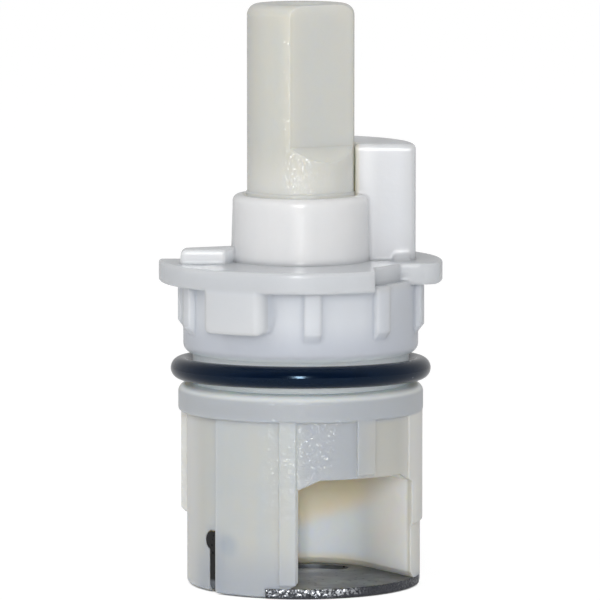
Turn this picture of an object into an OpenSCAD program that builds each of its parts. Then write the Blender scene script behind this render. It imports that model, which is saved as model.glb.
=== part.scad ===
// Quarter-turn faucet stem. The faucet body, its seat and the handle are not part of it.
// The axis of the shaft is Z, the valve face is at z = 0, and the front is towards -Y.
// All lengths are in millimetres and all angles in degrees.

/* [Shaft] */
// Diameter of the round shaft
shaft_d = 9.525; // [8:0.025:11]
// Rise of the shaft above the collar
shaft_rise = 16.9; // [15:0.1:24]
// How much thicker the shaft is where it turns in the collar, on the radius
bearing_step = 0.09; // [0.05:0.01:0.2]
// How far that thicker stretch shows above the collar
bearing_rise = 0.3; // [0.1:0.1:1]
// Rounding of the shaft's end
shaft_round = 1; // [0.3:0.1:1.5]
// Depth of the handle flat below the round surface
flat_depth = 1.33; // [0.8:0.01:2]
// Length of the full-depth flat from the shaft's end
flat_l = 12.5; // [8:0.1:13]
// Diameter of the hole for the handle screw
screw_d = 3.6; // [2.5:0.1:4.5]
// Depth of the hole for the handle screw
screw_depth = 12; // [8:0.5:14]

/* [Bonnet] */
// Diameter of the flange that sits on the faucet body
flange_d = 25.2; // [24:0.1:28]
// Thickness of the flange
flange_t = 1.85; // [1.4:0.05:2.5]
// Diameter of the body below the flange
body_d = 20.9; // [20.5:0.1:22]
// Height of the body below the flange
body_h = 6.34; // [5.5:0.02:9]
// Rounding of the body's lower edge
body_round = 0.8; // [0.2:0.1:1]
// Diameter of the neck that carries the large O-ring
neck_d = 19.2; // [18.8:0.1:20]
// Wall of the neck around the stem
neck_wall = 2.15; // [1.8:0.05:2.6]
// Thickness of the roof over the stem's journal
roof_t = 2.35; // [2:0.05:2.8]
// Rounding of the edges of the flange, the key and the journal
edge_round = 0.25; // [0.1:0.05:0.4]
// Height of the collar above the flange
collar_h = 5.85; // [4:0.05:8]
// Wall of the collar at its top
collar_wall = 1.15; // [0.9:0.01:1.8]
// How much wider the collar is at its foot, on the radius
collar_draft = 0.18; // [0:0.01:0.4]
// Rounding of the collar's upper edge
collar_round = 0.6; // [0.2:0.1:0.6]
// Size of the lead-in bevels at the bores
lead_in = 0.3; // [0.2:0.05:0.4]

/* [Ribs of the bonnet] */
// Number of ribs that centre the bonnet in its bore
rib_count = 10; // [6:1:14]
// Height of the ribs above the body's surface
rib_proud = 0.62; // [0.3:0.02:0.8]
// Width of a rib, as an angle
rib_angle = 8; // [6:0.5:14]
// Length of a rib below the flange, at full height
rib_l = 3.7; // [2.5:0.1:4.5]
// Length of the slope at a rib's foot
rib_slope = 0.8; // [0.4:0.1:1]
// Direction of the first rib from the front
rib_start = 5.5; // [0:0.5:35]

/* [Key, block and post on the bonnet] */
// Direction of the locating key from the front
key_turn = -29; // [-40:1:-20]
// Width of the locating key
key_w = 5.6; // [4:0.1:7]
// How far the key reaches below the flange
key_drop = 3.7; // [2.5:0.1:5]
// Rounding of the key's lower corners
key_round = 0.6; // [0.2:0.1:1]
// Rounding of the key's upright outer edge on its right side
key_side_round = 1; // [0.5:0.1:1.2]
// Radius of the fillet between the key's right side and the body
key_fillet_r = 1; // [0.5:0.1:1.5]
// Height of the raised block above the flange
block_h = 1.28; // [0.8:0.01:2]
// Distance from the axis to the block's front face
block_front = 4.6; // [4:0.1:6]
// Thickness of the block, front to back, at its free end
block_t = 1.9; // [1.2:0.1:3]
// Distance from the axis to the block's rear face, at the collar
block_back = 0.6; // [0.2:0.1:1.5]
// Reach of the block to the left of the axis
block_reach = 10.6; // [9:0.1:11]
// Distance from the axis to the right end of the block's front face
block_end = 6.7; // [6.4:0.1:7.5]
// Rounding of the block's upper corner
block_round = 0.6; // [0.2:0.1:1]
// Height of the handle's stop post above the flange
post_h = 10.3; // [8:0.1:14]
// Outer radius of the post
post_r = 10.2; // [9:0.01:11]
// Distance from the axis to the post's front face
post_front = 0.8; // [0.6:0.1:2.5]
// Distance from the axis to the post's rear end
post_end = 1.8; // [1:0.1:2.5]
// Rounding of the post's top
post_round = 0.45; // [0.2:0.05:0.8]
// Radius of the fillet at the foot of the post's front face
post_foot_r = 0.9; // [0.5:0.1:1.2]

/* [Notches in the flange] */
// Left side of the front notch, from the axis
front_notch_x = 6.5; // [6:0.1:8]
// Rear side of the front notch, from the axis
front_notch_y = 4; // [3.8:0.1:5]
// Rounding where the front notch meets the flange's rim
lug_round = 2; // [1:0.1:3]
// Height of the front notch's floor above the flange's underside
notch_floor = 0.3; // [0.1:0.05:0.6]
// Right side of the slot that runs from the front notch to the post, from the axis
slot_x = 8.2; // [7.8:0.1:8.8]
// Right side of the rear notch, from the axis
rear_notch_x = 10.5; // [10.5:0.1:11.5]
// Front side of the rear notch, from the axis
rear_notch_y = 0.5; // [0.5:0.1:3]

/* [Rotor cup] */
// Height of the cup, from the valve face to the top of its ring
cup_h = 17.8; // [16:0.1:21]
// Diameter of the cup's front wall
cup_d = 21.28; // [20.5:0.02:22]
// Depth of the step from the front wall to the rear wall
step_depth = 0.51; // [0.3:0.01:0.6]
// Half of the angle that the front wall covers
front_angle = 77.4; // [75:0.1:88]
// Height of the ring at the top of the cup
ring_h = 2.35; // [1.5:0.05:3]
// How far the ring stands proud of the front wall
ring_proud = 0.26; // [0.15:0.01:0.5]
// Rounding of the ring's upper edge
ring_round = 0.7; // [0.2:0.1:0.9]
// How far the cup's ribs stand proud of the front wall
cup_rib_proud = 0.21; // [0.1:0.01:0.25]
// Rounding of the cup's foot
cup_foot_round = 0.3; // [0.1:0.05:0.5]
// Bevel at the foot of the cup's ribs
rib_bevel = 0.4; // [0.3:0.05:0.6]
// How much higher than the tabs the rear ribs end
rear_rib_rise = 0.6; // [0.2:0.1:1]
// Width of the flow chamber and of its window
chamber_w = 11.8; // [11:0.1:13.5]
// Height of the window above the valve face
chamber_h = 10.42; // [8:0.02:12]
// Distance from the axis to the back of the chamber
chamber_back = 4.35; // [3:0.05:5]
// Height of the bevel along the chamber's upper edges
bevel_h = 0.85; // [0.4:0.01:1.5]
// Width of that bevel
bevel_w = 1.72; // [0.8:0.02:2.5]
// Size of the bevel along the chamber's lower edges
foot_bevel = 0.6; // [0.2:0.1:0.9]

/* [Flow plate] */
// Thickness of the steel plate
plate_t = 0.8; // [0.6:0.05:1.2]
// Rounding of the plate's edges
plate_edge = 0.1; // [0.05:0.05:0.2]
// Half of the angle over which the plate's rim shows below the window
rim_angle = 49.1; // [45:0.1:60]
// Wall of the cup's skirt around the hidden part of the plate
skirt_wall = 0.93; // [0.8:0.01:1.5]
// Radius of the solid pad that closes the seat
pad_r = 3.2; // [2.5:0.1:4]
// Land left between the port and the chamber's wall
port_land = 0.5; // [0.2:0.1:1]
// Half of the angle that the port covers, without its round ends
port_angle = 66; // [50:1:75]
// Height of the bent-up tabs
tab_h = 5.35; // [3.5:0.05:7]
// Width of a tab
tab_w = 1.9; // [1.4:0.1:3]
// Width of a tab's head, which grips the cup
tab_head_w = 3.1; // [2.4:0.1:4]
// Radius of the head's round ends
tab_head_r = 0.8; // [0.5:0.05:0.9]
// How far the middle of a side tab lies behind the end of the front wall
tab_shift = 1.8; // [0:0.1:4]

/* [Seals] */
// Section of the large O-ring
ring_section = 1.95; // [1.6:0.05:2.4]
// Spare height of the groove that holds it
groove_slack = 0.79; // [0.5:0.01:1.4]
// Distance from the neck's foot to the large O-ring, at its sides
ring_lift = 0.3; // [0.1:0.01:0.4]
// Spare height that the large O-ring, which leans up at the front, keeps in its groove
ring_play = 0.07; // [0.04:0.01:0.09]
// Section of the two stem O-rings, squeezed in the bore
seal_section = 1.5; // [1.2:0.05:1.8]
// Spare width of the stem's grooves
seal_slack = 0.5; // [0.3:0.05:0.8]
// Distance between the two stem O-rings
seal_pitch = 3.2; // [2.8:0.1:4]

/* [Motion and fits] */
// Direction of the flat and the window from the front, with the valve closed
rest_turn = 32.4; // [0:0.1:60]
// Travel between the two stops
travel = 90; // [80:1:100]
// Width of the stop lug, as an angle
lug_angle = 30; // [20:1:40]
// Height of the stop lug above the journal
lug_h = 1.1; // [0.8:0.05:1.2]
// Spare angle at each stop
stop_slack = 1; // [0.5:0.1:2]
// Radial clearance of the stem in the bonnet
running_fit = 0.05; // [0.03:0.01:0.1]
// Clearance between the stem's flat faces and the bonnet
end_gap = 0.1; // [0.05:0.01:0.2]
// Clearance around the stop lug and the plate's hidden edges
loose_gap = 0.2; // [0.1:0.01:0.3]
// Gap between an O-ring and the wall that it lies on
seat_gap = 0.02; // [0.01:0.01:0.05]

/* [Hidden] */
$fn = 96;
over = 1;
sliver = 0.05;
rim_spare = 1;

shaft_r = shaft_d / 2;
bearing_r = shaft_r + bearing_step;
bore_r = bearing_r + running_fit;
collar_r = bore_r + collar_wall;
neck_r = neck_d / 2;
body_r = body_d / 2;
flange_r = flange_d / 2;
socket_r = neck_r - neck_wall;
journal_r = socket_r - running_fit;

bonnet_z = cup_h + end_gap;
body_z = bonnet_z + ring_section + groove_slack;
flange_z = body_z + body_h;
flange_top = flange_z + flange_t;
floor_z = flange_z + notch_floor;
collar_top = flange_top + collar_h;
shaft_top = collar_top + shaft_rise;
roof_z = flange_top - roof_t;
journal_top = roof_z - end_gap;
post_top = flange_top + post_h;

cup_r = cup_d / 2;
rear_r = cup_r - step_depth;
ring_r = cup_r + ring_proud;
cup_rib_r = cup_r + cup_rib_proud;
chamber_r = chamber_w / 2;
chamber_x = chamber_r - chamber_back;
skirt_r = rear_r - skirt_wall;
plate_r = skirt_r - loose_gap / 2;
tab_turns = [-(front_angle + tab_shift), front_angle + tab_shift, 180];

// Ribs of the cup: direction from the middle of the window, width as an angle, height of the foot
cup_ribs = [
    [-38.6, 7.9, plate_t],
    [0, 9.6, chamber_h],
    [43, 25.8, tab_h],
    [136, 7, tab_h + rear_rib_rise],
    [180, 7, tab_h + rear_rib_rise],
    [-136, 7, tab_h + rear_rib_rise]
];

ring_r_mid = neck_r + seat_gap + ring_section / 2;
ring_lean = min(ring_lift + end_gap, groove_slack - ring_lift) - ring_play;

seal_mid = (cup_h + journal_top) / 2;
seal_r = socket_r - seat_gap - seal_section / 2;
groove_r = seal_r - seal_section / 2 - seat_gap;

// Turns what is drawn along +X to a direction counted from the front, to the right
module facing(turn) {
    rotate([0, 0, turn - 90]) children();
}

// The waste outside a rounded corner at the origin: the corner points to +X and +Y
module corner_waste(r) {
    translate([-r, -r]) difference() {
        square(r + over);
        circle(r);
    }
}

// A long cutter that rounds a straight edge along Z, whose corner points to +X and +Y
module edge_cutter(r, l) {
    linear_extrude(l) corner_waste(r);
}

// A turned disc with rounded rims: low at the bottom, high at the top
module turned(r, z0, z1, low, high) {
    translate([0, 0, z0]) rotate_extrude() difference() {
        square([r, z1 - z0]);
        translate([r, z1 - z0]) corner_waste(high);
        translate([r, 0]) mirror([0, 1]) corner_waste(low);
    }
}

// A ring-shaped bar around the axis, centred on +X, with the given profile
module arc_bar(angle) {
    rotate([0, 0, -angle / 2]) rotate_extrude(angle = angle) children();
}

// A torus around the axis
module o_ring(r, section, z) {
    translate([0, 0, z]) rotate_extrude() translate([r, 0]) circle(section / 2);
}

// Seen from above, the flange with its two notches
module flange_outline() {
    difference() {
        circle(flange_r);
        translate([front_notch_x, -front_notch_y - flange_r]) square(flange_r);
        translate([front_notch_x, -front_notch_y - over])
            square([slot_x - front_notch_x, front_notch_y + over - post_front / 2]);
        translate([-rear_notch_x - flange_r, rear_notch_y]) square(flange_r);
        rim_corner(front_notch_y, lug_round);
    }
}

// What a round corner takes away between the flange's rim and a side that faces -Y, at y = -side
module rim_corner(side, r) {
    mid_y = r - side;
    mid = [sqrt(pow(flange_r - r + sliver / 2, 2) - pow(mid_y, 2)), mid_y];
    difference() {
        polygon([
            mid,
            mid + [0, -r - over],
            [flange_r + over, -side - over],
            mid + mid / norm(mid) * (r + over)
        ]);
        translate(mid) circle(r);
    }
}

module flange() {
    intersection() {
        turned(flange_r, flange_z, flange_top, edge_round, edge_round);
        translate([0, 0, flange_z - over]) linear_extrude(flange_t + 2 * over) flange_outline();
    }
}

// The collar leans in to its top, where it is round-edged
module collar() {
    foot_z = flange_top - flange_t / 2;
    lean_top = collar_top - 2 * collar_round;
    difference() {
        union() {
            translate([0, 0, foot_z])
                cylinder(h = lean_top - foot_z, r1 = collar_r + collar_draft, r2 = collar_r);
            turned(collar_r, lean_top, collar_top, 0, collar_round);
        }
        bevelled_mouth(collar_top, bore_r, -1);
    }
}

module bonnet_rib() {
    foot = flange_z - rib_l;
    arc_bar(rib_angle) polygon([
        [body_r - 1, foot - rib_slope],
        [body_r, foot - rib_slope],
        [body_r + rib_proud, foot],
        [body_r + rib_proud, floor_z],
        [body_r - 1, floor_z]
    ]);
}

// The key keeps the bonnet from turning in the faucet body
module key() {
    low = flange_z - key_drop;
    high = flange_z + flange_t / 2;
    facing(key_turn) intersection() {
        turned(flange_r, low, high, edge_round, 0);
        difference() {
            translate([socket_r + 1, -key_w / 2, low]) cube([flange_r, key_w, high - low + over]);
            for (side = [0, 1]) mirror([0, side, 0]) translate([socket_r, key_w / 2, low])
                rotate([0, 90, 0]) edge_cutter(key_round, flange_r + over);
            translate([0, 0, low - over]) mirror([0, 1, 0])
                linear_extrude(high - low + 3 * over) rim_corner(key_w / 2, key_side_round);
        }
    }
}

// The fillet beside the key widens from the key's foot up to the flange
module key_fillet() {
    low = flange_z - key_drop + key_round;
    high = flange_z + flange_t / 2;
    mid_y = key_w / 2 + key_fillet_r - sliver;
    mid = [sqrt(pow(body_r + key_fillet_r - sliver, 2) - pow(mid_y, 2)), mid_y];
    facing(key_turn) intersection() {
        linear_extrude(high) difference() {
            polygon([
                [socket_r + 1, 0],
                [mid[0], 0],
                mid,
                mid / norm(mid) * (socket_r + 1)
            ]);
            translate(mid) circle(key_fillet_r);
        }
        rotate([90, 0, 90]) linear_extrude(flange_r) polygon([
            [-over, low],
            [key_w / 2, low],
            [mid_y, flange_z],
            [mid_y, high],
            [-over, high]
        ]);
    }
}

// The low block runs from the collar to the left, across the flange
module block() {
    top = flange_top + block_h;
    difference() {
        translate([0, 0, flange_z + flange_t / 2])
            linear_extrude(top - flange_z - flange_t / 2) polygon([
                [-block_reach, -block_front],
                [-block_end, -block_front],
                [-bore_r - collar_wall / 2, -block_back],
                [-block_reach, block_t - block_front]
            ]);
        translate([-block_reach, -block_front - over, top]) mirror([1, 0, 0]) rotate([-90, 0, 0])
            mirror([0, 1, 0]) edge_cutter(block_round, block_front + over);
        translate([-block_reach - over, -block_front, top]) mirror([0, 1, 0]) rotate([0, 90, 0])
            mirror([1, 0, 0]) edge_cutter(edge_round, block_reach);
    }
}

// The post beside the shaft stops the handle at both ends of its travel. The bore cuts its inside
module post() {
    foot_z = flange_z;
    difference() {
        rotate_extrude() difference() {
            translate([shaft_r, foot_z]) square([post_r - shaft_r, post_top - foot_z]);
            translate([post_r, post_top]) corner_waste(post_round);
            translate([bore_r, post_top]) mirror([1, 0]) corner_waste(post_round / 2);
        }
        translate([-flange_r, -flange_d - post_front, 0]) cube([flange_d, flange_d, post_top + over]);
        translate([-flange_d + post_end, -flange_r, 0]) cube([flange_d, flange_d, post_top + over]);
        translate([0, -post_front, post_top]) mirror([0, 1, 0]) rotate([0, 90, 0])
            mirror([1, 0, 0]) edge_cutter(post_round, flange_r);
        translate([post_end, 0, post_top]) mirror([1, 0, 0]) rotate([-90, 0, 0])
            mirror([0, 1, 0]) edge_cutter(post_round, flange_r);
        translate([sqrt(pow(post_r, 2) - pow(post_front, 2)), -post_front, flange_top])
            mirror([0, 1, 0]) edge_cutter(post_round, post_h + over);
    }
}

// The fillet between the post's front face and the flange, to the right of the slot
module post_foot() {
    left = slot_x + sliver;
    difference() {
        translate([left, -post_front - post_foot_r, flange_top - sliver])
            cube([post_r - post_round - left, post_foot_r + post_front / 2, post_foot_r + sliver]);
        translate([0, -post_front - post_foot_r, flange_top + post_foot_r]) rotate([0, 90, 0])
            cylinder(h = flange_r, r = post_foot_r - sliver / 2);
    }
}

// The room that the stop lug sweeps, with its spare angle, in the roof over the journal
module stop_room() {
    sweep = travel + lug_angle + 2 * stop_slack;
    facing(rest_turn + 180 + travel / 2) arc_bar(sweep)
        translate([shaft_r - over, roof_z - over])
            square([journal_r - shaft_r + over, over + lug_h + end_gap]);
}

// The lead-in bevel of a bore that opens at height z: down with side 1, up with side -1
module bevelled_mouth(z, r, side) {
    translate([0, 0, z - side * sliver]) mirror([0, 0, (1 - side) / 2])
        cylinder(h = lead_in + sliver, r1 = r + lead_in + sliver, r2 = r);
}

// No rib stands where the key is
module bonnet() {
    key_half = asin(key_w / body_d) + rib_angle;
    color([0.93, 0.95, 0.97]) difference() {
        union() {
            translate([0, 0, bonnet_z]) cylinder(h = flange_top - bonnet_z, r = neck_r);
            turned(body_r, body_z, floor_z, body_round, 0);
            flange();
            collar();
            for (i = [0 : rib_count - 1]) {
                turn = rib_start + i * 360 / rib_count;
                if (cos(turn - key_turn) < cos(key_half)) facing(turn) bonnet_rib();
            }
            key();
            key_fillet();
            block();
            post();
            post_foot();
        }
        translate([0, 0, bonnet_z - over]) cylinder(h = roof_z - bonnet_z + over, r = socket_r);
        bevelled_mouth(bonnet_z, socket_r, 1);
        translate([0, 0, roof_z - over]) cylinder(h = post_top - roof_z + 2 * over, r = bore_r);
        stop_room();
    }
}

module body_o_ring() {
    mid_z = bonnet_z + ring_lift + ring_section / 2;
    color([0.06, 0.1, 0.18]) translate([0, 0, mid_z]) rotate([-asin(ring_lean / ring_r_mid), 0, 0])
        o_ring(ring_r_mid, ring_section, 0);
}

// The shaft with its flat, which runs out at 45 degrees, and its screw hole
module shaft() {
    flat_z = shaft_top - flat_l;
    difference() {
        union() {
            turned(shaft_r, cup_h - over, shaft_top, 0, shaft_round);
            turned(bearing_r, cup_h - over, collar_top + bearing_rise, 0, bearing_step);
        }
        translate([shaft_r - flat_depth, -shaft_d, 0]) rotate([-90, 0, 0]) mirror([0, 1, 0])
            linear_extrude(2 * shaft_d) polygon([
                [0, flat_z],
                [flat_depth + over, flat_z - flat_depth - over],
                [flat_depth + over, shaft_top + over],
                [0, shaft_top + over]
            ]);
        translate([0, 0, shaft_top - screw_depth]) cylinder(h = screw_depth + over, d = screw_d);
        bevelled_mouth(shaft_top, screw_d / 2, -1);
    }
}

// The journal that turns in the bonnet, with a groove for each stem O-ring
module journal() {
    difference() {
        turned(journal_r, cup_h - over, journal_top, 0, edge_round);
        for (side = [-1, 1]) rotate_extrude()
            translate([groove_r, seal_mid + side * seal_pitch / 2 - (seal_section + seal_slack) / 2])
                square([journal_r, seal_section + seal_slack]);
    }
    // The lug that meets the ends of the stop room
    rotate([0, 0, 180]) arc_bar(lug_angle) translate([shaft_r - over, journal_top - over])
        square([journal_r - loose_gap - shaft_r + over, lug_h + over]);
}

module cup_rib(turn, angle, foot) {
    rotate([0, 0, turn]) arc_bar(angle) polygon([
        [rear_r - 1, foot],
        [cup_rib_r - rib_bevel, foot],
        [cup_rib_r, foot + rib_bevel],
        [cup_rib_r, cup_h - ring_h / 2],
        [rear_r - 1, cup_h - ring_h / 2]
    ]);
}

module cup_wall() {
    turned(rear_r, 0, cup_h - ring_round, cup_foot_round, 0);
    arc_bar(2 * front_angle) difference() {
        square([cup_r, cup_h - ring_h / 2]);
        translate([cup_r, 0]) mirror([0, 1]) corner_waste(cup_foot_round);
    }
    turned(ring_r, cup_h - ring_h, cup_h, edge_round, ring_round);
    for (rib = cup_ribs) cup_rib(rib[0], rib[1], rib[2]);
}

// The chamber is U-shaped from above, opens through the window and narrows at its top and foot
module chamber() {
    reach = cup_rib_r + over - chamber_x;
    bevel_z = chamber_h - bevel_h;
    translate([chamber_x, 0, 0]) {
        translate([0, 0, -over]) cylinder(h = bevel_z + over, r = chamber_r);
        translate([0, 0, bevel_z]) cylinder(h = bevel_h, r1 = chamber_r, r2 = chamber_r - bevel_w);
        translate([0, 0, plate_t]) cylinder(h = foot_bevel, r1 = chamber_r + foot_bevel, r2 = chamber_r);
        rotate([90, 0, 90]) linear_extrude(reach) polygon([
            [-chamber_r - foot_bevel, -over],
            [chamber_r + foot_bevel, -over],
            [chamber_r + foot_bevel, plate_t],
            [chamber_r, plate_t + foot_bevel],
            [chamber_r, bevel_z],
            [chamber_r - bevel_w, chamber_h],
            [-chamber_r + bevel_w, chamber_h],
            [-chamber_r, bevel_z],
            [-chamber_r, plate_t + foot_bevel],
            [-chamber_r - foot_bevel, plate_t]
        ]);
    }
}

// A tab seen from outside: straight, with a wider head that has round ends
module tab_outline(grow) {
    w = tab_w + 2 * grow;
    head_z = tab_h - tab_head_r;
    reach = tab_head_w / 2 - tab_head_r;
    translate([-w / 2, -over]) square([w, head_z + over]);
    translate([-reach, head_z - tab_head_r - grow]) square([2 * reach, 2 * (tab_head_r + grow)]);
    for (side = [-1, 1]) translate([side * reach, head_z]) circle(tab_head_r + grow);
}

// What the plate needs from the cup: its pocket, the gap above its rim and a slot for each tab
module plate_room() {
    translate([0, 0, -over]) cylinder(h = plate_t + over, r = skirt_r);
    gap = loose_gap / 2;
    arc_bar(2 * rim_angle + rim_spare) translate([0, -over]) square([ring_r + over, plate_t + over]);
    for (turn = tab_turns) rotate([0, 0, turn]) intersection() {
        rotate([90, 0, 90]) linear_extrude(ring_r) tab_outline(gap);
        translate([0, 0, -over]) difference() {
            cylinder(h = tab_h + 2 * over, r = rear_r + gap);
            translate([0, 0, plate_t + over]) cylinder(h = tab_h + over, r = rear_r - plate_t - gap);
        }
    }
}

module stem() {
    color([0.9, 0.89, 0.84]) facing(rest_turn) {
        shaft();
        journal();
        difference() {
            cup_wall();
            chamber();
            plate_room();
        }
    }
}

module stem_o_ring_upper() {
    color([0.1, 0.1, 0.11]) o_ring(seal_r, seal_section, seal_mid + seal_pitch / 2);
}

module stem_o_ring_lower() {
    color([0.1, 0.1, 0.11]) o_ring(seal_r, seal_section, seal_mid - seal_pitch / 2);
}

// A tab stands on the plate's edge, with a round bend at its foot
module plate_tab() {
    intersection() {
        rotate([90, 0, 90]) linear_extrude(rear_r + over) tab_outline(0);
        arc_bar(60) difference() {
            translate([rear_r - plate_t - 1, 0]) square([plate_t + 1, tab_h + over]);
            translate([rear_r - plate_t - 1 - over, plate_t]) square([1 + over, tab_h + over]);
            translate([rear_r, 0]) mirror([0, 1]) corner_waste(plate_t);
        }
    }
}

// The port is half a ring around the pad that closes the seat
module port() {
    outer_r = chamber_r - port_land;
    mid_r = (pad_r + outer_r) / 2;
    translate([chamber_x, 0, -over]) {
        rotate([0, 0, 180]) arc_bar(2 * port_angle) translate([pad_r, 0])
            square([outer_r - pad_r, plate_t + 2 * over]);
        for (side = [-1, 1]) rotate([0, 0, 180 + side * port_angle]) translate([mid_r, 0, 0])
            cylinder(h = plate_t + 2 * over, d = outer_r - pad_r);
    }
}

module flow_plate() {
    color([0.55, 0.56, 0.58]) facing(rest_turn) difference() {
        union() {
            turned(plate_r, 0, plate_t, plate_edge, plate_edge);
            intersection() {
                turned(cup_r, 0, plate_t, plate_edge, plate_edge);
                arc_bar(2 * rim_angle) translate([0, -over]) square([cup_r + over, plate_t + 2 * over]);
            }
            for (turn = tab_turns) rotate([0, 0, turn]) plate_tab();
        }
        port();
    }
}

bonnet();
body_o_ring();
stem();
stem_o_ring_upper();
stem_o_ring_lower();
flow_plate();
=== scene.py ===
"""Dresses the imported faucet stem: camera and studio, then each piece in the order of assembly."""
import math

import bpy
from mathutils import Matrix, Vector

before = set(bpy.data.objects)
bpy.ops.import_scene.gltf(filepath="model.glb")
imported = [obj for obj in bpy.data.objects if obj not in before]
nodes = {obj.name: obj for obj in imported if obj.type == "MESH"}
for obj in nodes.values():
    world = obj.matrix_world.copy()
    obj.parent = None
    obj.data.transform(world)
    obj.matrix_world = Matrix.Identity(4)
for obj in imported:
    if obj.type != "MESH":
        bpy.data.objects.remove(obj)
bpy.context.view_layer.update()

# Camera: a long lens, a little higher than the stem, that looks about 6 degrees down on its front.
# It is level from side to side, and the stem nearly fills the picture's height.
camera_distance = 0.5556
camera_height = 0.08578
camera_side = -0.000062
aim_height = 0.02518
focal_pixels = 6287
picture_pixels = 600
sensor_width = 36
nearest_seen = 0.01

camera_data = bpy.data.cameras.new("camera")
camera = bpy.data.objects.new("camera", camera_data)
bpy.context.scene.collection.objects.link(camera)
camera.location = (camera_side, -camera_distance, camera_height)
look_down = math.atan((camera_height - aim_height) / camera_distance)
camera.rotation_euler = (math.pi / 2 - look_down, 0, 0)
camera_data.sensor_width = sensor_width
camera_data.lens = focal_pixels / picture_pixels * sensor_width
camera_data.clip_start = nearest_seen
bpy.context.scene.camera = camera

# Studio: a white table that runs out to a white surround, one small soft lamp above the lens,
# and a weaker, broader one on the upper left, which gloss doesn't mirror. What gloss mirrors
# is a dim room behind the lens, paler to the sides.
floor_reach = 3
floor_gap = 0.0001
floor_white = 0.95
floor_glow = 0.8
glow_strength = 1.12
contact_reach = 0.003
contact_open = (0.05, 0.4)
surround_light = 0.53
room_in_gloss = 0.12
sides_in_gloss = 0.55
lens_to_side = (-0.85, -0.15)
lamp_aim = (0, 0, 0.025)

bpy.context.scene.view_settings.view_transform = "Standard"


def add_node(tree, kind, **settings):
    made = tree.nodes.new(kind)
    for name, value in settings.items():
        setattr(made, name, value)
    return made


def join(tree, source, target):
    tree.links.new(source, target)


def fill(tree, socket, value):
    """Sets a socket to a plain number or colour, or links it to another socket."""
    if isinstance(value, tuple) and len(socket.default_value) == 4:
        socket.default_value = (*value, 1)
    elif isinstance(value, (int, float, tuple)):
        socket.default_value = value
    else:
        join(tree, value, socket)


def math_step(tree, operation, first, second=None, third=None, clamp=False):
    """One sum on sockets or plain numbers."""
    step = add_node(tree, "ShaderNodeMath", operation=operation, use_clamp=clamp)
    for place, value in enumerate((first, second, third)):
        if value is not None:
            fill(tree, step.inputs[place], value)
    return step.outputs[0]


def smooth_step(tree, value, span, low=0.0, high=1.0):
    """A soft ramp from low to high as value goes from the first to the second end of span."""
    ramp = add_node(tree, "ShaderNodeMapRange", interpolation_type="SMOOTHSTEP")
    for label, number in zip(("From Min", "From Max", "To Min", "To Max"), (*span, low, high)):
        ramp.inputs[label].default_value = number
    join(tree, value, ramp.inputs["Value"])
    return ramp.outputs["Result"]


def blend(tree, share, first, second, kind="RGBA"):
    """Goes from first to second by share. The kind is FLOAT, VECTOR or RGBA."""
    mix = add_node(tree, "ShaderNodeMix", data_type=kind)
    start, result = {"FLOAT": (2, 0), "VECTOR": (4, 1), "RGBA": (6, 2)}[kind]
    for place, value in ((0, share), (start, first), (start + 1, second)):
        fill(tree, mix.inputs[place], value)
    return mix.outputs[result]


surround = bpy.data.worlds.new("surround")
bpy.context.scene.world = surround
surround.use_nodes = True
sky = surround.node_tree
sky.nodes.clear()
sky_path = add_node(sky, "ShaderNodeLightPath")
sky_way = add_node(sky, "ShaderNodeSeparateXYZ")
join(sky, add_node(sky, "ShaderNodeTexCoord").outputs["Generated"], sky_way.inputs[0])
gloss_light = smooth_step(sky, sky_way.outputs["Y"], lens_to_side, room_in_gloss, sides_in_gloss)
sky_light = blend(sky, sky_path.outputs["Is Glossy Ray"], surround_light, gloss_light, "FLOAT")
sky_light = blend(sky, sky_path.outputs["Is Camera Ray"], sky_light, 1.0, "FLOAT")
sky_colour = add_node(sky, "ShaderNodeBackground")
sky_colour.inputs["Color"].default_value = (1, 1, 1, 1)
join(sky, sky_light, sky_colour.inputs["Strength"])
join(sky, sky_colour.outputs[0], add_node(sky, "ShaderNodeOutputWorld").inputs[0])

table_corners = [
    (x * floor_reach, y * floor_reach, -floor_gap)
    for x, y in ((-1, -1), (1, -1), (1, 1), (-1, 1))
]
floor_mesh = bpy.data.meshes.new("table_top")
floor_mesh.from_pydata(table_corners, [], [(0, 1, 2, 3)])
table_top = bpy.data.objects.new("table_top", floor_mesh)
bpy.context.scene.collection.objects.link(table_top)

# The table glows for the camera alone, except close under the stem, where its shadow stays.
white_card = bpy.data.materials.new("white_card")
white_card.use_nodes = True
card = white_card.node_tree
card.nodes.clear()
card_matt = add_node(card, "ShaderNodeBsdfDiffuse")
card_matt.inputs["Color"].default_value = (floor_white, floor_white, floor_white, 1)
card_glow = add_node(card, "ShaderNodeEmission")
card_glow.inputs["Strength"].default_value = glow_strength
card_path = add_node(card, "ShaderNodeLightPath")
under_piece = add_node(card, "ShaderNodeAmbientOcclusion", samples=8)
under_piece.inputs["Distance"].default_value = contact_reach
open_share = smooth_step(card, under_piece.outputs["AO"], contact_open, high=floor_glow)
glow_share = math_step(card, "MULTIPLY", card_path.outputs["Is Camera Ray"], open_share)
card_mix = add_node(card, "ShaderNodeMixShader")
for place, source in enumerate((glow_share, card_matt.outputs[0], card_glow.outputs[0])):
    join(card, source, card_mix.inputs[place])
join(card, card_mix.outputs[0], add_node(card, "ShaderNodeOutputMaterial").inputs[0])
floor_mesh.materials.append(white_card)


def soft_lamp(name, place, width, height, power):
    data = bpy.data.lights.new(name, "AREA")
    data.shape = "RECTANGLE"
    data.size = width
    data.size_y = height
    data.energy = power
    lamp = bpy.data.objects.new(name, data)
    bpy.context.scene.collection.objects.link(lamp)
    lamp.location = place
    lamp.rotation_euler = (Vector(lamp_aim) - Vector(place)).to_track_quat("-Z", "Y").to_euler()
    return lamp


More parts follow.
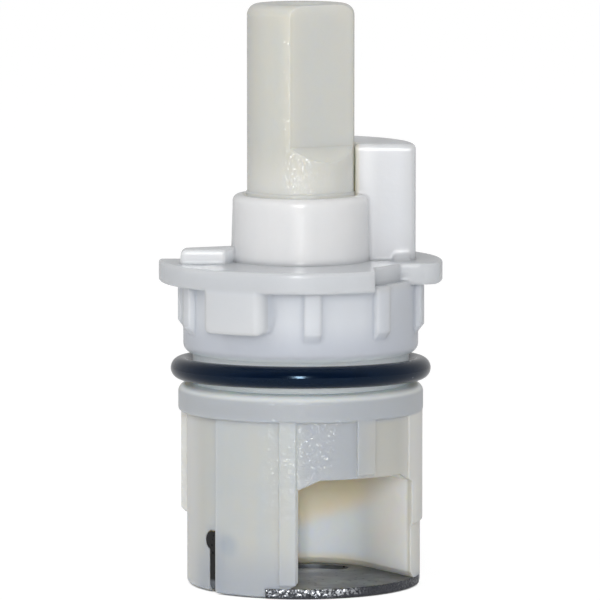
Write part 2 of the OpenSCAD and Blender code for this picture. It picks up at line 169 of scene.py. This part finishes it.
soft_lamp("lens_lamp", place=(-0.012, -0.58, 0.147), width=0.07, height=0.156, power=1.6)
left_lamp = soft_lamp("left_lamp", place=(-0.4, -0.45, 0.5), width=0.3, height=0.3, power=0.7)
left_lamp.visible_glossy = False

# Stem: one moulding in natural acetal, cream and a little cloudy, from the shaft's flat down
# to the windowed cup. The mould leaves a fine grain that sparkles where the lamp catches it.
# Some of these colours are painted light and shade rather than the acetal's own tone.
shaft_cream = (0.58, 0.57, 0.51)
shaft_cool = (0.555, 0.565, 0.535)
shaft_flat_painted_light = (0.62, 0.625, 0.6)
run_out_painted_light = (0.63, 0.635, 0.6)
shaft_foot_painted_light = (0.64, 0.64, 0.605)
cup_cream = (0.53, 0.535, 0.505)
cup_cool = (0.495, 0.525, 0.535)
cup_painted_shade = (0.42, 0.445, 0.475)
cup_warm = (0.5, 0.5, 0.465)
cup_edge_painted_light = (0.66, 0.66, 0.635)
cup_top_painted_light = (0.78, 0.82, 0.82)
chamber_painted_light = (0.82, 0.87, 0.92)
chamber_right_painted_light = (0.98, 1, 1)
chamber_amber_painted_shade = (0.95, 0.875, 0.71)
chamber_shade = (0.38, 0.42, 0.47)
# The tint of a faint painted glow, used on the cup's top and the bonnet's neck.
painted_glow_tint = (0.75, 0.9, 1)
cup_top_painted_glow = 0.015

# Its colours change over short ways, each from the first number to the second. These are
# heights above the table.
amber_low = (0.0022, 0.0012)
amber_high = (0.0035, 0.0055)
cup_foot = (0.0055, 0.001)
chamber_roof = (0.0118, 0.0108)
ring_start = (0.015, 0.0156)
below_ring = (0.0156, 0.015)
edge_end = (0.0156, 0.0153)
cup_roof = (0.0172, 0.0177)
foot_rise = (0.0395, 0.035)
run_out_rise = (0.0393, 0.039)

# These go from side to side, with right above 0, and the last one from front to back.
right_half = (-0.0004, 0.0006)
right_jamb = (0.001, 0.004)
warm_side = (0.0045, 0.007)
bright_side = (0.0055, 0.008)
amber_side = (0.0085, 0.004)
outer_edges = (0.0085, 0.0102)
front_half = (0.001, -0.002)

# These are distances from the stem's axis, and the last one from the shade in the chamber.
flat_depth = (0.00474, 0.0045)
shaft_clear = (0.0065, 0.0075)
wall_inside = (0.0098, 0.0094)
shade_reach = (0.0014, 0.0004)
shade_place = (-0.0064, -0.0086, 0.0044)

jamb_depth = 0.0006
amber_slope = -0.35
flat_strength = 0.5
shade_strength = 0.6
mould_rounding = 0.00015
grain_facing = (0.1, 0.28)
grain_tilt = 0.6
coat_rise = (0.007, 0.011)
coat_ring = (0.0153, 0.0156)
foot_coat = 0.35
cup_coat = 0.7
ring_coat = 0.6
shaft_coat = 0.9


def new_group(name, inputs, outputs):
    """An empty node group with named inputs, each with a usual value, and named outputs."""
    tree = bpy.data.node_groups.new(name, "ShaderNodeTree")
    for label, kind, value in inputs:
        tree.interface.new_socket(label, in_out="INPUT", socket_type=kind).default_value = value
    for label, kind in outputs:
        tree.interface.new_socket(label, in_out="OUTPUT", socket_type=kind)
    return tree, add_node(tree, "NodeGroupInput").outputs, add_node(tree, "NodeGroupOutput").inputs


def put_group(tree, group, **values):
    """Uses a group in a material and gives its outputs."""
    used = add_node(tree, "ShaderNodeGroup", node_tree=group)
    for label, value in values.items():
        fill(tree, used.inputs[label.replace("_", " ")], value)
    return used.outputs


def vector_step(tree, operation, first, second=None, scale=None):
    """One sum on vectors. Length and distance give a number."""
    step = add_node(tree, "ShaderNodeVectorMath", operation=operation)
    fill(tree, step.inputs[0], first)
    if second is not None:
        fill(tree, step.inputs[1], second)
    if scale is not None:
        fill(tree, step.inputs["Scale"], scale)
    return step.outputs["Value" if operation in ("LENGTH", "DISTANCE") else "Vector"]


def overlap(tree, first, *others):
    """The share that two or more shares have in common."""
    for share in others:
        first = math_step(tree, "MULTIPLY", first, share)
    return first


def layered(tree, colour, *layers):
    """Lays colours over a first one, each by its own share."""
    for share, over in layers:
        colour = blend(tree, share, colour, over)
    return colour


def on_object(tree):
    """The place on the piece, in metres, that turns with it."""
    return add_node(tree, "ShaderNodeTexCoord").outputs["Object"]


def along(tree, place, axis):
    parts = add_node(tree, "ShaderNodeSeparateXYZ")
    join(tree, place, parts.inputs[0])
    return parts.outputs[axis]


def off_axis(tree, place):
    """How far a place is from the stem's axis."""
    return vector_step(tree, "LENGTH", vector_step(tree, "MULTIPLY", place, (1, 1, 0)))


def noise(tree, place, scale, detail=2.0):
    pattern = add_node(tree, "ShaderNodeTexNoise")
    fill(tree, pattern.inputs["Vector"], place)
    fill(tree, pattern.inputs["Scale"], scale)
    fill(tree, pattern.inputs["Detail"], detail)
    return pattern.outputs["Fac"]


def soft_edges(tree, radius):
    """The surface's direction with its edges rounded off, for light alone."""
    bevel = add_node(tree, "ShaderNodeBevel", samples=6)
    bevel.inputs["Radius"].default_value = radius
    return bevel.outputs["Normal"]


def new_finish(name, **values):
    """A new material with its Principled shader, whose plain values are set."""
    finish = bpy.data.materials.new(name)
    finish.use_nodes = True
    tree = finish.node_tree
    shader = tree.nodes["Principled BSDF"]
    for label, value in values.items():
        fill(tree, shader.inputs[label.replace("_", " ")], value)
    return finish, tree, shader.inputs


def dress(piece, finish):
    nodes[piece].data.materials.clear()
    nodes[piece].data.materials.append(finish)


# The grain group tilts the surface in small facets, so that a lamp glints on a few of them.
facet_grain, grain_in, grain_out = new_group(
    "facet_grain",
    (
        ("Surface", "NodeSocketVector", (0, 0, 1)),
        ("Facet", "NodeSocketFloat", 0.0002),
        ("Tilt", "NodeSocketFloat", 0.5),
    ),
    (("Normal", "NodeSocketVector"),),
)
facets = add_node(facet_grain, "ShaderNodeTexVoronoi")
facet_scale = math_step(facet_grain, "DIVIDE", 1.0, grain_in["Facet"])
join(facet_grain, on_object(facet_grain), facets.inputs["Vector"])
join(facet_grain, facet_scale, facets.inputs["Scale"])
lean = vector_step(facet_grain, "SUBTRACT", facets.outputs["Color"], (0.5, 0.5, 0.5))
lean = vector_step(facet_grain, "SCALE", lean, scale=grain_in["Tilt"])
tilted = vector_step(facet_grain, "ADD", grain_in["Surface"], lean)
join(facet_grain, vector_step(facet_grain, "NORMALIZE", tilted), grain_out["Normal"])

# The wave group makes a moulded skin that isn't quite even.
waved_skin, wave_in, wave_out = new_group(
    "waved_skin",
    (
        ("Surface", "NodeSocketVector", (0, 0, 1)),
        ("Wave", "NodeSocketFloat", 0.001),
        ("Depth", "NodeSocketFloat", 0.00001),
    ),
    (("Normal", "NodeSocketVector"),),
)
skin = add_node(waved_skin, "ShaderNodeBump")
skin_scale = math_step(waved_skin, "DIVIDE", 1.0, wave_in["Wave"])
skin_height = noise(waved_skin, on_object(waved_skin), skin_scale, detail=3.0)
join(waved_skin, skin_height, skin.inputs["Height"])
join(waved_skin, wave_in["Depth"], skin.inputs["Distance"])
join(waved_skin, wave_in["Surface"], skin.inputs["Normal"])
join(waved_skin, skin.outputs["Normal"], wave_out["Normal"])

# The cloud group gives the slow changes of a natural plastic: blots, and streaks along the shaft.
cloudy_melt, melt_in, melt_out = new_group(
    "cloudy_melt",
    (("Blot", "NodeSocketFloat", 0.004), ("Streak", "NodeSocketFloat", 0.5)),
    (("Cloud", "NodeSocketFloat"),),
)
streak_stretch = (1, 1, 0.06)
cloud_span = (0.35, 0.65)
melt_place = on_object(cloudy_melt)
melt_scale = math_step(cloudy_melt, "DIVIDE", 1.0, melt_in["Blot"])
drawn_out = vector_step(cloudy_melt, "MULTIPLY", melt_place, streak_stretch)
blots = noise(cloudy_melt, melt_place, melt_scale, detail=3.0)
streaks = noise(cloudy_melt, drawn_out, melt_scale)
melt_mix = blend(cloudy_melt, melt_in["Streak"], blots, streaks, "FLOAT")
join(cloudy_melt, smooth_step(cloudy_melt, melt_mix, cloud_span), melt_out["Cloud"])

natural_acetal, acetal, acetal_in = new_finish(
    "natural_acetal",
    Roughness=0.42,
    Specular_IOR_Level=0.3,
    Subsurface_Weight=0.8,
    Subsurface_Radius=(1, 0.85, 0.6),
    Subsurface_Scale=0.003,
    Coat_Roughness=0.25,
    Emission_Color=painted_glow_tint,
)
acetal_place = on_object(acetal)
acetal_height = along(acetal, acetal_place, "Z")
acetal_side = along(acetal, acetal_place, "X")
acetal_radius = off_axis(acetal, acetal_place)
acetal_melt = put_group(acetal, cloudy_melt, Blot=0.003, Streak=0.75)["Cloud"]

# The shaft is painted paler in its flat, at the flat's lower end and down at its foot: painted
# light that lifts the shade falling there.
in_flat = smooth_step(acetal, acetal_radius, flat_depth)
at_run_out = overlap(acetal, in_flat, smooth_step(acetal, acetal_height, run_out_rise))
shaft_colour = layered(
    acetal,
    blend(acetal, acetal_melt, shaft_cream, shaft_cool),
    (smooth_step(acetal, acetal_height, foot_rise), shaft_foot_painted_light),
    (math_step(acetal, "MULTIPLY", in_flat, flat_strength), shaft_flat_painted_light),
    (at_run_out, run_out_painted_light),
)

# The cup is painted greyer as shade on its right half, on its top ring and at its foot. It is
# warmer at the right of its front, and painted paler as light at its outer edges.
at_ring = smooth_step(acetal, acetal_height, ring_start)
at_foot = smooth_step(acetal, acetal_height, cup_foot)
at_right = smooth_step(acetal, acetal_side, right_half)
painted_shade_share = math_step(acetal, "MAXIMUM", at_right, math_step(acetal, "MAXIMUM", at_ring, at_foot))
warm_share = overlap(
    acetal,
    smooth_step(acetal, acetal_side, warm_side),
    smooth_step(acetal, acetal_height, below_ring),
)
edge_light_share = overlap(
    acetal,
    smooth_step(acetal, math_step(acetal, "ABSOLUTE", acetal_side), outer_edges),
    smooth_step(acetal, acetal_height, edge_end),
)
cup_colour = layered(
    acetal,
    blend(acetal, acetal_melt, cup_cream, cup_cool),
    (painted_shade_share, cup_painted_shade),
    (warm_share, cup_warm),
    (edge_light_share, cup_edge_painted_light),
)

# The chamber is painted pale with the light that comes through its walls, paler still at its right.
# Amber is painted above and below as shade lit through the plastic, and a painted shade sits at its
# left foot. At the right jamb of the window its colour also covers the wall's cut face.
jamb_shift = overlap(
    acetal,
    smooth_step(acetal, acetal_side, right_jamb, high=jamb_depth),
    smooth_step(acetal, along(acetal, acetal_place, "Y"), front_half),
)
inside_cup = overlap(
    acetal,
    smooth_step(acetal, math_step(acetal, "SUBTRACT", acetal_radius, jamb_shift), wall_inside),
    smooth_step(acetal, acetal_height, chamber_roof),
)
amber_rise = math_step(acetal, "MULTIPLY_ADD", acetal_side, amber_slope, acetal_height)
amber_above = smooth_step(acetal, amber_rise, amber_high)
amber_below = smooth_step(acetal, acetal_height, amber_low)
amber_share = overlap(
    acetal,
    math_step(acetal, "MAXIMUM", amber_above, amber_below),
    smooth_step(acetal, acetal_side, amber_side),
    inside_cup,
)
at_bright_side = smooth_step(acetal, acetal_side, bright_side)
chamber_light_colour = blend(acetal, at_bright_side, chamber_painted_light, chamber_right_painted_light)
from_shade = vector_step(acetal, "DISTANCE", acetal_place, shade_place)

# The cup's top face round the shaft is painted paler and glows faintly: painted light in the shade
# under the bonnet's end.
above_cup = smooth_step(acetal, acetal_height, cup_roof)
on_top = overlap(acetal, above_cup, smooth_step(acetal, acetal_radius, shaft_clear))
acetal_colour = layered(
    acetal,
    blend(acetal, above_cup, cup_colour, shaft_colour),
    (on_top, cup_top_painted_light),
    (inside_cup, chamber_light_colour),
    (amber_share, chamber_amber_painted_shade),
    (smooth_step(acetal, from_shade, shade_reach, high=shade_strength), chamber_shade),
)
join(acetal, acetal_colour, acetal_in["Base Color"])
join(acetal, math_step(acetal, "MULTIPLY", on_top, cup_top_painted_glow), acetal_in["Emission Strength"])

# The skin waves a little. The grain lies in the coat, fades where the surface turns away,
# and stays out of the chamber.
acetal_edges = soft_edges(acetal, mould_rounding)
acetal_skin = put_group(acetal, waved_skin, Surface=acetal_edges, Wave=0.0015, Depth=0.00001)
join(acetal, acetal_skin["Normal"], acetal_in["Normal"])
edge_on = add_node(acetal, "ShaderNodeLayerWeight").outputs["Facing"]
tilt_share = overlap(
    acetal,
    smooth_step(acetal, edge_on, grain_facing, grain_tilt, 0.0),
    math_step(acetal, "SUBTRACT", 1.0, inside_cup),
)
acetal_grain = put_group(
    acetal, facet_grain, Surface=acetal_edges, Facet=0.00012, Tilt=tilt_share
)
join(acetal, acetal_grain["Normal"], acetal_in["Coat Normal"])
acetal_coat = smooth_step(acetal, acetal_height, coat_rise, foot_coat, cup_coat)
at_coat_ring = smooth_step(acetal, acetal_height, coat_ring)
acetal_coat = blend(acetal, at_coat_ring, acetal_coat, ring_coat, "FLOAT")
acetal_coat = blend(acetal, above_cup, acetal_coat, shaft_coat, "FLOAT")
join(acetal, acetal_coat, acetal_in["Coat Weight"])
dress("stem", natural_acetal)

# Stem O-rings: two small black rubber rings stretched into the shaft's grooves.
# They seal the shaft in the bonnet's bore, and show only when the bonnet is off.
black_deep = (0.008, 0.008, 0.009)
black_worn = (0.02, 0.02, 0.022)
black_cloud_scale = 1200
black_rubber, black, black_in = new_finish("black_rubber", Roughness=0.5)
black_cloud = noise(black, on_object(black), black_cloud_scale)
join(black, blend(black, black_cloud, black_deep, black_worn), black_in["Base Color"])
for seal in ("stem_o_ring_upper", "stem_o_ring_lower"):
    dress(seal, black_rubber)

# Flow plate: stamped from stainless sheet, with a half-ring port and tabs bent up into the cup.
# The valve seat has burnished it, and it is pitted with scale. Its rim is nicked, with glints
# painted as bright patches on its lower left front.
steel_dull = (0.13, 0.143, 0.16)
steel_bright = (0.23, 0.245, 0.27)
steel_tab = (0.04, 0.04, 0.04)
steel_pit = (0.015, 0.015, 0.017)
# The rim's bright colour is a painted glint.
rim_painted_glint = (0.8, 0.83, 0.88)
rim_dark = (0.1, 0.105, 0.12)
tab_rise = (0.0008, 0.0012)
rim_radius = (0.0103, 0.0105)
rim_rise = (0.00015, 0.0003)
rim_left = (0.0062, 0.0035)
stain_scale = 300
stain_span = (0.38, 0.66)
glint_scale = 4500
glint_span = (0.46, 0.6)
polish_scale = 500
polish_span = (0.35, 0.65)
polished = 0.3
scuffed = 0.4
stamped_rounding = 0.0001

# The speck group scatters small round dots, as dust and pits are.
scattered_specks, speck_in, speck_out = new_group(
    "scattered_specks",
    (
        ("Spacing", "NodeSocketFloat", 0.0006),
        ("Size", "NodeSocketFloat", 0.15),
        ("Share", "NodeSocketFloat", 0.3),
    ),
    (("Speck", "NodeSocketFloat"),),
)
dots = add_node(scattered_specks, "ShaderNodeTexVoronoi")
dot_scale = math_step(scattered_specks, "DIVIDE", 1.0, speck_in["Spacing"])
join(scattered_specks, on_object(scattered_specks), dots.inputs["Vector"])
join(scattered_specks, dot_scale, dots.inputs["Scale"])
near_dot = math_step(scattered_specks, "LESS_THAN", dots.outputs["Distance"], speck_in["Size"])
dot_number = along(scattered_specks, dots.outputs["Color"], "X")
chosen = math_step(scattered_specks, "LESS_THAN", dot_number, speck_in["Share"])
join(scattered_specks, overlap(scattered_specks, near_dot, chosen), speck_out["Speck"])

plate_steel, steel, steel_in = new_finish("plate_steel", Metallic=1)
steel_place = on_object(steel)
steel_height = along(steel, steel_place, "Z")
stains = smooth_step(steel, noise(steel, steel_place, stain_scale, detail=4.0), stain_span)
glint_noise = smooth_step(steel, noise(steel, steel_place, glint_scale, detail=3.0), glint_span)
painted_glint_share = overlap(
    steel,
    glint_noise,
    smooth_step(steel, steel_height, rim_rise),
    smooth_step(steel, along(steel, steel_place, "X"), rim_left),
)
on_rim = smooth_step(steel, off_axis(steel, steel_place), rim_radius)
steel_colour = layered(
    steel,
    blend(steel, stains, steel_bright, steel_dull),
    (smooth_step(steel, steel_height, tab_rise), steel_tab),
    (put_group(steel, scattered_specks, Spacing=0.0006, Size=0.22, Share=0.4)["Speck"], steel_pit),
    (on_rim, blend(steel, painted_glint_share, rim_dark, rim_painted_glint)),
)
join(steel, steel_colour, steel_in["Base Color"])
polish = noise(steel, steel_place, polish_scale)
join(steel, smooth_step(steel, polish, polish_span, polished, scuffed), steel_in["Roughness"])
steel_skin = soft_edges(steel, stamped_rounding)
nicked = put_group(steel, facet_grain, Surface=steel_skin, Facet=0.00013, Tilt=0.7)["Normal"]
join(steel, blend(steel, on_rim, steel_skin, nicked, "VECTOR"), steel_in["Normal"])
dress("flow_plate", plate_steel)

# Bonnet: a natural white nylon moulding with the flange, post, stop block and collar.
# It is whiter and glossier than the stem, and its thick walls look faintly blue.
# Most of these are painted light and shade on one white nylon.
nylon_white = (0.8, 0.815, 0.84)
block_painted_shade = (0.7, 0.715, 0.735)
nylon_post = (0.66, 0.67, 0.69)
post_side_painted_shade = (0.57, 0.58, 0.595)
flange_painted_shade = (0.525, 0.54, 0.56)
body_painted_shade = (0.64, 0.665, 0.705)
body_side_painted_shade = (0.53, 0.555, 0.6)
low_body_painted_shade = (0.52, 0.55, 0.61)
nylon_key = (0.59, 0.605, 0.625)
neck_painted_light = (0.9, 0.97, 1)
bore_painted_light = (1, 0.93, 0.75)
neck_painted_glow = 0.07

# As on the stem, each colour starts over a short way: heights, then ways from side to side,
# then distances from the axis.
neck_top = (0.0212, 0.0207)
body_low = (0.0245, 0.0215)
body_top = (0.0274, 0.0262)
key_top = (0.0272, 0.0266)
flange_top = (0.0295, 0.0286)
bore_mouth = (0.0335, 0.0345)
block_side = (-0.006, -0.007)
post_start = (0.0055, 0.007)
post_side = (0.0085, 0.01)
body_side = (0.005, 0.009)
bore_radius = (0.0054, 0.0049)
key_radius = (0.0112, 0.0114)
melt_in_body = 0.15
bonnet_rounding = 0.0005

bonnet_nylon, nylon, nylon_in = new_finish(
    "bonnet_nylon",
    Roughness=0.22,
    Subsurface_Weight=0.8,
    Subsurface_Radius=(0.9, 0.95, 1),
    Subsurface_Scale=0.004,
    Emission_Color=painted_glow_tint,
)
nylon_place = on_object(nylon)
nylon_height = along(nylon, nylon_place, "Z")
nylon_side = along(nylon, nylon_place, "X")
nylon_radius = off_axis(nylon, nylon_place)
nylon_melt = put_group(nylon, cloudy_melt, Blot=0.005, Streak=0.3)["Cloud"]
under_flange = smooth_step(nylon, nylon_height, body_top)
body_shade_and_cloud = math_step(nylon, "MULTIPLY_ADD", nylon_melt, melt_in_body, under_flange, clamp=True)
at_body_side = smooth_step(nylon, nylon_side, body_side)
on_neck = smooth_step(nylon, nylon_height, neck_top)
on_key = overlap(
    nylon,
    smooth_step(nylon, nylon_radius, key_radius),
    smooth_step(nylon, nylon_height, key_top),
)
in_bore = overlap(
    nylon,
    smooth_step(nylon, nylon_radius, bore_radius),
    smooth_step(nylon, nylon_height, bore_mouth),
)
# Over the nylon's white, kept on the collar, the post and the key are a little greyer. Shade is
# painted darker on the stop block, on the post's right side, on the flange, and on the body under
# the flange, mixed a little with the nylon's cloud and darkest at its right and low down. Light is
# painted paler on the neck under the O-ring and in the bore's mouth.
nylon_colour = layered(
    nylon,
    nylon_white,
    (smooth_step(nylon, nylon_side, block_side), block_painted_shade),
    (smooth_step(nylon, nylon_side, post_start), nylon_post),
    (smooth_step(nylon, nylon_side, post_side), post_side_painted_shade),
    (smooth_step(nylon, nylon_height, flange_top), flange_painted_shade),
    (body_shade_and_cloud, blend(nylon, at_body_side, body_painted_shade, body_side_painted_shade)),
    (smooth_step(nylon, nylon_height, body_low), low_body_painted_shade),
    (on_neck, neck_painted_light),
    (on_key, nylon_key),
    (in_bore, bore_painted_light),
)
join(nylon, nylon_colour, nylon_in["Base Color"])
# The neck also glows faintly: painted light in the O-ring's shade.
join(nylon, math_step(nylon, "MULTIPLY", on_neck, neck_painted_glow), nylon_in["Emission Strength"])
nylon_edges = soft_edges(nylon, bonnet_rounding)
nylon_skin = put_group(nylon, waved_skin, Surface=nylon_edges, Wave=0.0008, Depth=0.00002)
join(nylon, nylon_skin["Normal"], nylon_in["Normal"])
dress("bonnet", bonnet_nylon)

# Body O-ring: a large blue-black rubber ring round the bonnet's neck, wet with grease.
# It seals in the faucet body, and sits a little askew in its groove.
navy_deep = (0.0005, 0.003, 0.011)
navy_pale = (0.001, 0.006, 0.022)
navy_grit = (0.15, 0.17, 0.2)
navy_cloud_scale = 700
navy_rounding = 0.00005
navy_rubber, navy, navy_in = new_finish(
    "navy_rubber", Roughness=0.15, IOR=1.38, Specular_Tint=(0.5, 0.75, 1)
)
navy_cloud = noise(navy, on_object(navy), navy_cloud_scale)
navy_colour = blend(navy, navy_cloud, navy_deep, navy_pale)
navy_dust = put_group(navy, scattered_specks, Spacing=0.0012, Size=0.06, Share=0.35)["Speck"]
join(navy, blend(navy, navy_dust, navy_colour, navy_grit), navy_in["Base Color"])
navy_edges = soft_edges(navy, navy_rounding)
navy_skin = put_group(navy, waved_skin, Surface=navy_edges, Wave=0.0006, Depth=0.000006)
join(navy, navy_skin["Normal"], navy_in["Normal"])
dress("body_o_ring", navy_rubber)
